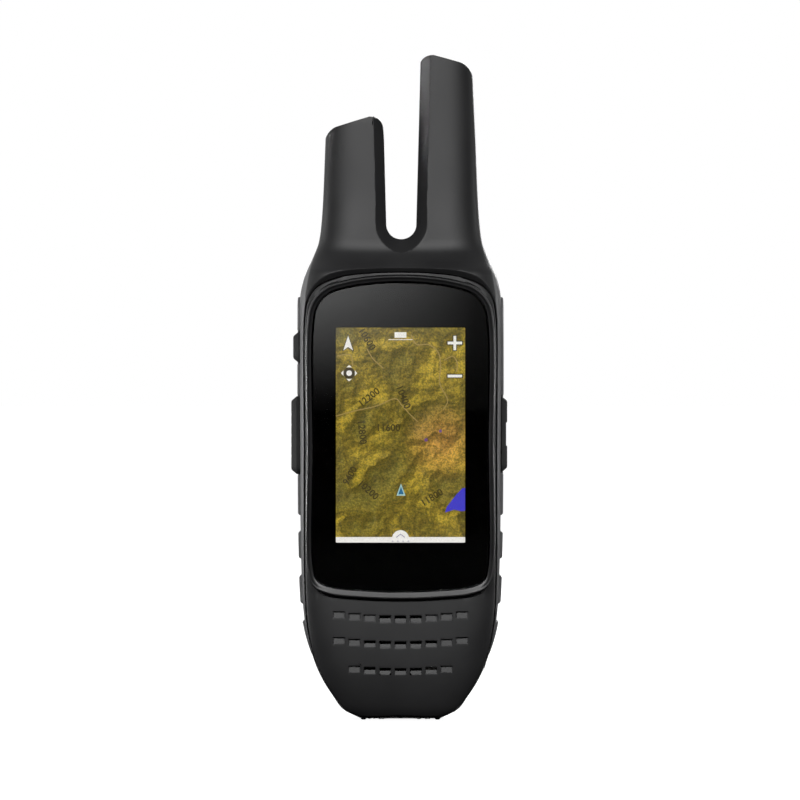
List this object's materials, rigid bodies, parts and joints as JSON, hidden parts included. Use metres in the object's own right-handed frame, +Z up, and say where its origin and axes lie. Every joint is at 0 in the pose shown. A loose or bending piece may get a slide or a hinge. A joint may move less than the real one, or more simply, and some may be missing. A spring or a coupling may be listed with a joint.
{
  "type": "handheld gps unit",
  "caption": "Rugged handheld satellite navigator with a two-way radio: tall touch screen, two fixed antenna towers, side keys, speaker slots and a rear battery pack.",
  "frame": {"origin": "middle of the base, on the plane the two small feet stand on", "axes": "+Z up along the antenna towers, -Y out of the screen towards the reader, +X to the reader's right"},
  "size_m": [0.0666, 0.0409, 0.2049],
  "materials": {
    "housing": "fine moulded texture, dark charcoal",
    "bezel": "satin, near black",
    "rubber": "soft matt, near black",
    "cover_glass": "polished, black printed border",
    "screen": "lit display, olive relief map",
    "steel": "satin",
    "gold_plate": "plated, satin",
    "speaker_cloth": "fine acoustic mesh",
    "circuit_board": "solder mask",
    "antenna_core": "fired ceramic",
    "inner_plastic": "plain black",
    "cell_wrap": "printed film",
    "lens": "polished"
  },
  "bodies": {
    "unit": {"main_housing": "housing", "front_panel": "housing", "case_seal": "rubber", "screen_bezel": "bezel", "cover_glass": "cover_glass", "display_panel": "screen", "display_frame": "steel", "speaker_mesh": "speaker_cloth", "speaker_driver": "steel", "microphone": "steel", "main_board": "circuit_board", "shield_can": "steel", "position_antenna": "antenna_core", "radio_antenna": "gold_plate", "talk_switch": "steel", "power_switch": "steel", "usb_socket": "steel", "headset_socket": "inner_plastic", "battery_terminals": "gold_plate", "card_slot": "steel", "left_grip": "rubber", "right_grip": "rubber", "camera_module": "inner_plastic", "camera_trim": "bezel", "camera_window": "lens", "flash_window": "lens", "left_foot": "rubber", "right_foot": "rubber", "case_screw_1": "steel", "case_screw_2": "steel", "case_screw_3": "steel", "case_screw_4": "steel", "case_screw_5": "steel", "case_screw_6": "steel"},
    "talk_key": {"talk_key": "rubber"},
    "power_key": {"power_key": "rubber"},
    "port_cap": {"port_cap": "rubber"},
    "battery": {"battery_shell": "housing", "battery_seal": "rubber", "battery_cell_left": "cell_wrap", "battery_cell_right": "cell_wrap", "battery_plate": "inner_plastic", "battery_contacts": "gold_plate", "spine_rail": "housing"},
    "latch": {"latch_post": "steel"},
    "latch_ring": {"latch_ring": "steel"}
  },
  "joints": [
    {"name": "talk_key_press", "type": "slide", "parent": "unit", "child": "talk_key", "axis": [1, 0, 0], "range_m": [0, 0.0008], "stiffness_N_per_m": 2500, "springref_m": -0.0004},
    {"name": "power_key_press", "type": "slide", "parent": "unit", "child": "power_key", "axis": [1, 0, 0], "range_m": [0, 0.0006], "stiffness_N_per_m": 2500, "springref_m": -0.0004},
    {"name": "port_cap_open", "type": "hinge", "parent": "unit", "child": "port_cap", "pos_m": [0.0329, -0.0046, 0.0763], "axis": [0, 1, 0], "range_deg": [0, 110]},
    {"name": "battery_release", "type": "slide", "parent": "unit", "child": "battery", "axis": [0, 1, 0], "range_m": [0, 0.03]},
    {"name": "latch_turn", "type": "hinge", "parent": "battery", "child": "latch", "pos_m": [0, 0.0151, 0.038], "axis": [0, 1, 0], "range_deg": [0, 90]},
    {"name": "ring_flip", "type": "hinge", "parent": "latch", "child": "latch_ring", "pos_m": [0, 0.0151, 0.038], "axis": [1, 0, 0], "range_deg": [0, 170]}
  ]
}
